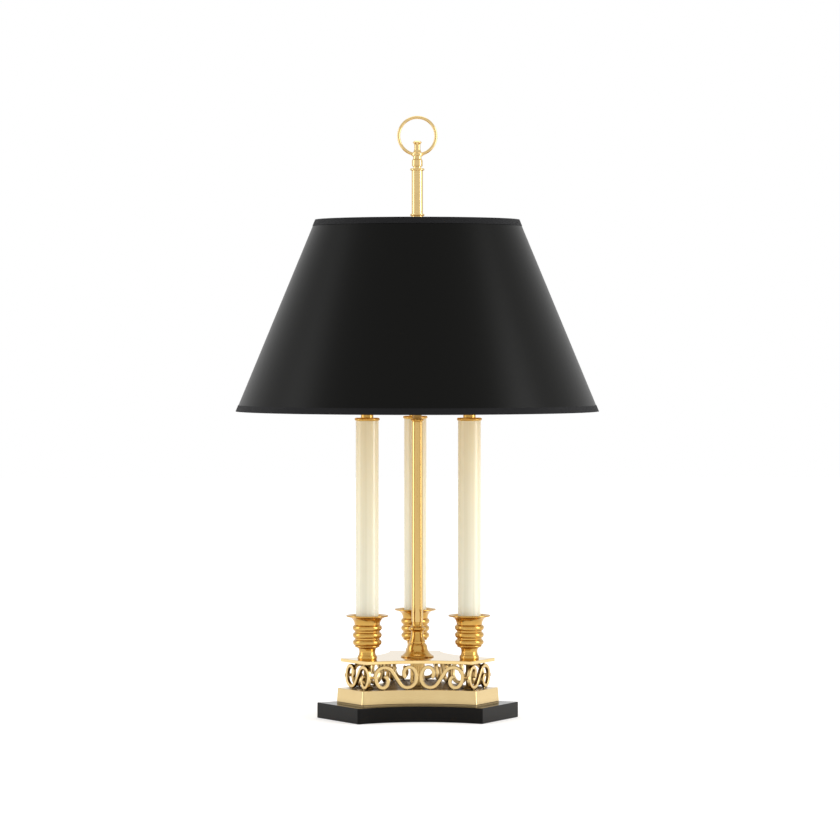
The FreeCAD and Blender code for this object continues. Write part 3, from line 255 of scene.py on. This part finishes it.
# Brass-plated threaded steel: dull yellow, with close level rings of thread.
plated_steel, tree = new_tree("brass_plated_threaded_steel")
height = add(tree, "SeparateXYZ", {}, {0: add(tree, "TexCoord", {}, {}).outputs["Object"]})
turns = add(tree, "Math", {"operation": "MULTIPLY"},
            {0: height.outputs["Z"], 1: 2 * math.pi / (THREAD_PITCH * MM)})
thread = add(tree, "Math", {"operation": "SINE"}, {0: turns.outputs[0]})
stain = grain(tree, (3, 3, 3))
finish_with(tree, {"Base Color": blend(tree, stain, "#8F7440", "#C4A566"),
                   "Metallic": 1.0,
                   "Roughness": spread(tree, stain, 0.28, 0.42),
                   "Normal": bump(tree, thread.outputs[0], 0.15)})
dress(["centre_rod", "base_washer", "base_nut", "pipe_nuts", "candle_pipes", "shade_seat"],
      plated_steel)

# Candle sleeves: ivory-coloured tubes that stand in the cups round the pipes. They are cast
# from resin, smooth and a little see-through; their yellower tops are painted shade from the
# shade.

sleeve_low, sleeve_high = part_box("candle_sleeve_left")

# Cast ivory resin, polished: milky, with long upright streaks, and yellower and a little darker
# towards the top, which is painted shade.
ivory, tree = new_tree("polished_ivory_resin")
place = add(tree, "TexCoord", {}, {}).outputs["Object"]
height = add(tree, "SeparateXYZ", {}, {0: place})
# Painted shade under the lamp's shade: the colour turns yellower and a little darker upwards.
shaded_top = add(tree, "MapRange", {"interpolation_type": "SMOOTHSTEP"},
             {"Value": height.outputs["Z"], "From Min": sleeve_low.z, "From Max": sleeve_high.z})
streaks = grain(tree, (1.8, 1.8, 240), 2.0)
pale = blend(tree, streaks, "#D8D5BC", "#EBE7D6")
shaded_tan = blend(tree, streaks, "#DDD0A8", "#EDE3C6")
finish_with(tree, {"Base Color": blend(tree, shaded_top.outputs[0], pale, shaded_tan),
                   "Roughness": 0.2,
                   "IOR": 1.5,
                   "Subsurface Weight": 0.2,
                   "Subsurface Radius": (0.004, 0.003, 0.002),
                   "Normal": bump(tree, streaks, 0.02, 0.5)})
dress(["candle_sleeve_" + side for side in SIDES], ivory)

# Sockets: a spun brass cap and shell round a moulded black core, with a turn key at the side.
# One is screwed to the top of each candle pipe. The shade's spider has the same brass finish.

# Spun sheet brass: a soft yellow gold with level spinning marks.
spun_brass, tree = new_tree("spun_sheet_brass")
lines = grain(tree, (14, 14, 0.3), 3.0)
finish_with(tree, {"Base Color": blend(tree, lines, "#BE9A50", "#D3B36E"),
                   "Metallic": 1.0,
                   "Roughness": spread(tree, lines, 0.22, 0.34),
                   "Normal": bump(tree, lines, 0.02, 0.5)})
dress(["socket_caps", "bulb_bases", "shade_spider"], spun_brass)
dress(["socket_shell_" + side for side in SIDES], spun_brass)

# Moulded phenolic: black-brown, hard and slightly glossy, with a fine flow in it.
phenolic, tree = new_tree("moulded_phenolic")
flow = grain(tree, (4, 4, 4), 5.0)
finish_with(tree, {"Base Color": blend(tree, flow, "#120F0D", "#211B17"),
                   "Roughness": spread(tree, flow, 0.3, 0.42),
                   "Normal": bump(tree, flow, 0.02)})
dress(["socket_cores"] + ["socket_knob_" + side for side in SIDES], phenolic)

# Bulbs: candle-shaped glass, blown, etched inside and cemented to a threaded brass base. The
# stem within the bulb has the same glass finish.

# Etched glass: white and misty, smooth outside.
etched_glass, tree = new_tree("blown_glass_etched_inside")
mist = grain(tree, (2, 2, 2), 4.0)
finish_with(tree, {"Base Color": blend(tree, mist, "#F1EEE4", "#FBFAF5"),
                   "Roughness": spread(tree, mist, 0.32, 0.44),
                   "IOR": 1.5,
                   "Transmission Weight": 0.7})
dress(["bulb_glass_" + side for side in SIDES] + ["bulb_filaments"], etched_glass)

# Leads and connectors: twin flex in an extruded gold sheath, joined in the block by twist-on
# nylon caps.

# Extruded sheath, clear gold: shiny, with the twist of the wires faint below it.
sheath, tree = new_tree("extruded_gold_sheath")
twist = grain(tree, (1.2, 1.2, 5.0))
finish_with(tree, {"Base Color": blend(tree, twist, "#9C7A33", "#C7A55A"),
                   "Roughness": 0.3,
                   "Normal": bump(tree, twist, 0.1)})
dress(["socket_leads"], sheath)

# Moulded nylon: pale, matt and a little uneven.
nylon, tree = new_tree("moulded_nylon")
skin = grain(tree, (0.9, 0.9, 0.9))
finish_with(tree, {"Base Color": blend(tree, skin, "#B9B4A5", "#CFCABB"),
                   "Roughness": spread(tree, skin, 0.5, 0.62)})
dress(["wire_connectors"], nylon)

# Shade: black satin paper on card, rolled to a cone and lined with gold foil, stiffened by a
# wire at each rim and bound there with folded black cloth tape.

GILT_SHARE = 0.4

# Satin paper outside, soft gold foil inside: the side is told by which way a face looks. The
# foil is only partly metallic, so that it glows evenly and mirrors little.
card, tree = new_tree("satin_black_paper_gold_foil_lining")
where = add(tree, "TexCoord", {}, {})
level = add(tree, "VectorMath", {"operation": "MULTIPLY"},
            {0: where.outputs["Object"], 1: (1.0, 1.0, 0.0)})
facing = add(tree, "VectorMath", {"operation": "DOT_PRODUCT"},
             {0: where.outputs["Normal"], 1: level.outputs[0]})
inside = add(tree, "Math", {"operation": "LESS_THAN"}, {0: facing.outputs["Value"], 1: 0.0})
gilt = add(tree, "Math", {"operation": "MULTIPLY"}, {0: inside.outputs[0], 1: GILT_SHARE})
fibres = grain(tree, (0.9, 0.9, 0.9), 4.0)
paper = blend(tree, fibres, "#030302", "#070705")
foil = blend(tree, fibres, "#EBC473", "#F5DA98")
finish_with(tree, {"Base Color": blend(tree, inside.outputs[0], paper, foil),
                   "Metallic": gilt.outputs[0],
                   "Roughness": spread(tree, fibres, 0.32, 0.38),
                   "Specular IOR Level": 0.1,
                   "Normal": bump(tree, fibres, 0.02, 0.5)})
dress(["shade_panel"], card)

THREAD_SPACING = 0.7
MIDDLE_RIM_R = 160
RIM_THREADS = round(2 * math.pi * MIDDLE_RIM_R / THREAD_SPACING)

# Woven cotton tape: dull blue-black. Its threads, 0.7 mm apart, are drawn coarser than real
# ones so that they show.
tape, tree = new_tree("woven_black_cotton_tape")
place = add(tree, "TexCoord", {}, {}).outputs["Object"]
apart = add(tree, "SeparateXYZ", {}, {0: place})
angle = add(tree, "Math", {"operation": "ARCTAN2"},
            {0: apart.outputs["Y"], 1: apart.outputs["X"]})
warp = add(tree, "Math", {"operation": "MULTIPLY"}, {0: angle.outputs[0], 1: RIM_THREADS})
weft = add(tree, "Math", {"operation": "MULTIPLY"},
           {0: apart.outputs["Z"], 1: 2 * math.pi / (THREAD_SPACING * MM)})
warp_wave = add(tree, "Math", {"operation": "SINE"}, {0: warp.outputs[0]})
weft_wave = add(tree, "Math", {"operation": "SINE"}, {0: weft.outputs[0]})
weave = add(tree, "Math", {"operation": "MULTIPLY"},
            {0: warp_wave.outputs[0], 1: weft_wave.outputs[0]})
crossing = add(tree, "MapRange", {}, {"Value": weave.outputs[0], "From Min": -1.0})
finish_with(tree, {"Base Color": blend(tree, crossing.outputs[0], "#060607", "#0E0E11"),
                   "Roughness": 0.78,
                   "Specular IOR Level": 0.2,
                   "Sheen Weight": 0.03,
                   "Normal": bump(tree, crossing.outputs[0], 0.12)})
dress(["shade_tape_bottom", "shade_tape_top"], tape)

# Painted spring wire: black, with small runs in the paint.
wire_paint, tree = new_tree("black_painted_wire")
runs = grain(tree, (2, 2, 2))
finish_with(tree, {"Base Color": blend(tree, runs, "#101010", "#1A1A1A"),
                   "Roughness": spread(tree, runs, 0.3, 0.45)})
dress(["shade_wire_bottom", "shade_wire_top"], wire_paint)

# Floor and light: a plain white table in a plain white room, two tall soft boxes at the sides
# and a dim one above and behind.

FLOOR_SIZE = 14.0
FLOOR_DROP = 0.0002
FLOOR_LIFT = 0.3

bpy.ops.mesh.primitive_plane_add(size=FLOOR_SIZE, location=(0, 0, -FLOOR_DROP))
floor = bpy.context.object
floor.name = "floor"

# Matt white table: lifted to white for the camera, for mirrors and for what is seen through
# glass, and it keeps the lamp's shadow.
table_white, tree = new_tree("matt_white_table")
path = add(tree, "LightPath", {}, {})
direct = add(tree, "Math", {"operation": "MAXIMUM"},
             {0: path.outputs["Is Camera Ray"], 1: path.outputs["Is Transmission Ray"]})
seen = add(tree, "Math", {"operation": "MAXIMUM"},
           {0: direct.outputs[0], 1: path.outputs["Is Glossy Ray"]})
lifted = add(tree, "Math", {"operation": "MULTIPLY"}, {0: seen.outputs[0], 1: FLOOR_LIFT})
matt = add(tree, "BsdfDiffuse", {}, {"Color": "#E8E8E8"})
lift = add(tree, "Emission", {}, {"Color": "#FFFFFF", "Strength": lifted.outputs[0]})
both = add(tree, "AddShader", {}, {0: matt.outputs[0], 1: lift.outputs[0]})
add(tree, "OutputMaterial", {}, {"Surface": both.outputs[0]})
floor.data.materials.append(table_white)

for name, place, turn, wide, tall, power in (
        ("left_box", (-1.9, -0.1, 0.75), (90, 0, -87), 0.8, 1.7, 11.0),
        ("right_box", (1.75, -0.6, 0.75), (90, 0, 71), 0.7, 1.7, 20.0),
        ("top_box", (0.0, 0.6, 2.2), (-15, 0, 0), 1.6, 1.2, 9.0)):
    box = bpy.data.lights.new(name, "AREA")
    box.shape = "RECTANGLE"
    box.size = wide
    box.size_y = tall
    box.energy = power
    holder = bpy.data.objects.new(name, box)
    holder.location = place
    holder.rotation_euler = [math.radians(value) for value in turn]
    bpy.context.scene.collection.objects.link(holder)

# The room is plain white for every ray. No light is sampled from it as from a lamp: a ray
# meets it only where it leaves the scene.
world = bpy.data.worlds.new("studio")
world.cycles.sampling_method = "NONE"
bpy.context.scene.world = world
world.use_nodes = True
tree = world.node_tree
tree.nodes.clear()
surround = add(tree, "Background", {}, {"Color": "#FFFFFF", "Strength": 1.0})
add(tree, "OutputWorld", {}, {"Surface": surround.outputs[0]})

# Camera: a long lens about 0.1 m above the middle of the lamp, dipped a little towards it, and
# two degrees to the left of the front.

CAMERA_AWAY = 4.284
CAMERA_UP = 0.4298
CAMERA_LEFT = math.radians(2.0)
AXIS_OFF_CENTRE = math.radians(0.0404)
CAMERA_DIP = math.radians(1.309)
SENSOR_WIDTH = 36.0
FOCAL_LENGTH = 164.14
FAR_END = 60.0

lens = bpy.data.cameras.new("camera")
lens.sensor_width = SENSOR_WIDTH
lens.sensor_fit = "HORIZONTAL"
lens.lens = FOCAL_LENGTH
lens.clip_end = FAR_END
camera = bpy.data.objects.new("camera", lens)
camera.location = (-CAMERA_AWAY * math.sin(CAMERA_LEFT), -CAMERA_AWAY * math.cos(CAMERA_LEFT),
                   CAMERA_UP)
camera.rotation_euler = (math.pi / 2 - CAMERA_DIP, 0.0, -CAMERA_LEFT - AXIS_OFF_CENTRE)
bpy.context.scene.collection.objects.link(camera)
bpy.context.scene.camera = camera
bpy.context.scene.view_settings.view_transform = "Standard"
